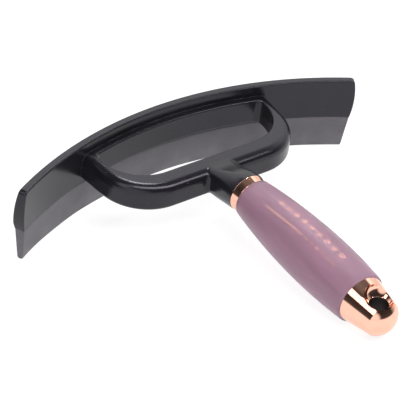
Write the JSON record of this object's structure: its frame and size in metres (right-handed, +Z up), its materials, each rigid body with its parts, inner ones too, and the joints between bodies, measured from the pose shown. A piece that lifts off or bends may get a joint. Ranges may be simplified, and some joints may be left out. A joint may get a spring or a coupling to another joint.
{
  "type": "horse sweat scraper",
  "caption": "Hand scraper: arched blade with a soft lip, a looped frame behind it, and a barrel-shaped gel grip ending in a bright cap with a hanging hole.",
  "frame": {"origin": "centre of the footprint, on the surface that the tool rests on", "axes": "+X across the blade, +Y from the grip towards the blade, +Z up; the tool rests on the two ends of its lip and the far end of its grip"},
  "size_m": [0.2514, 0.2221, 0.0561],
  "materials": {
    "hard_plastic": "satin charcoal moulding",
    "lip_rubber": "soft matt grey",
    "rose_metal": "plastic with a mirror-bright rose metal coat",
    "core_plastic": "mauve plastic",
    "clear_gel": "clear soft gel with a satin skin",
    "foil": "hot-stamped rose foil"
  },
  "bodies": {
    "root": {"head_moulding": "hard_plastic", "rubber_lip": "lip_rubber", "collar_ring": "rose_metal", "grip_core": "core_plastic", "gel_sleeve": "clear_gel", "foil_stripe": "foil", "foil_lozenges_small": "foil", "foil_lozenges_large": "foil", "end_cap": "rose_metal"}
  },
  "joints": []
}
